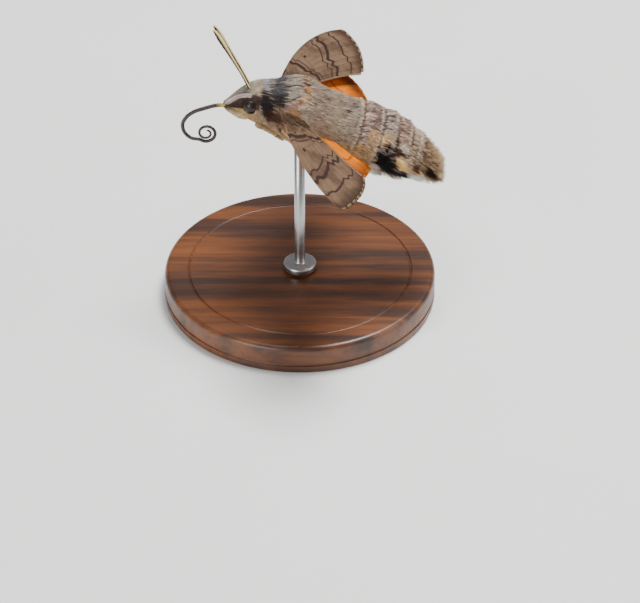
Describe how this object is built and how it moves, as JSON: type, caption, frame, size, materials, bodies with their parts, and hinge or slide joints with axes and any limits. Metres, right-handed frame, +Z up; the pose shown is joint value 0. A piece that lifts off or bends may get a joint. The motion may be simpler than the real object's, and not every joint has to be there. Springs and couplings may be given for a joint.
{
  "type": "hummingbird hawk moth",
  "caption": "Life-size model of a hummingbird hawk moth in hovering flight, tongue out, on a small round stand with one rod.",
  "frame": {"origin": "centre of the underside of the stand's base", "axes": "+Z up, -X the way the moth faces, -Y the moth's left side"},
  "size_m": [0.037, 0.0418, 0.0421],
  "materials": {
    "fur": "dense matt fur of hair scales",
    "eye": "dark glossy compound eye",
    "pale_scales": "matt pale scales",
    "horn": "satin horn",
    "forewing": "matt brown-grey wing scales",
    "hindwing": "matt orange wing scales",
    "stand_wood": "dark polished wood",
    "stand_metal": "brushed"
  },
  "bodies": {
    "root": {"head": "fur", "eye_left": "eye", "eye_right": "eye", "palp_left": "pale_scales", "palp_right": "pale_scales", "proboscis": "horn", "antenna_left": "horn", "antenna_right": "horn", "thorax": "fur", "abdomen": "fur", "tail_fan": "fur", "forewing_left": "forewing", "forewing_right": "forewing", "hindwing_left": "hindwing", "hindwing_right": "hindwing", "foreleg_left": "pale_scales", "foreleg_right": "pale_scales", "midleg_left": "pale_scales", "midleg_right": "pale_scales", "hindleg_left": "pale_scales", "hindleg_right": "pale_scales", "stand_base": "stand_wood", "stand_rod": "stand_metal"}
  },
  "joints": []
}
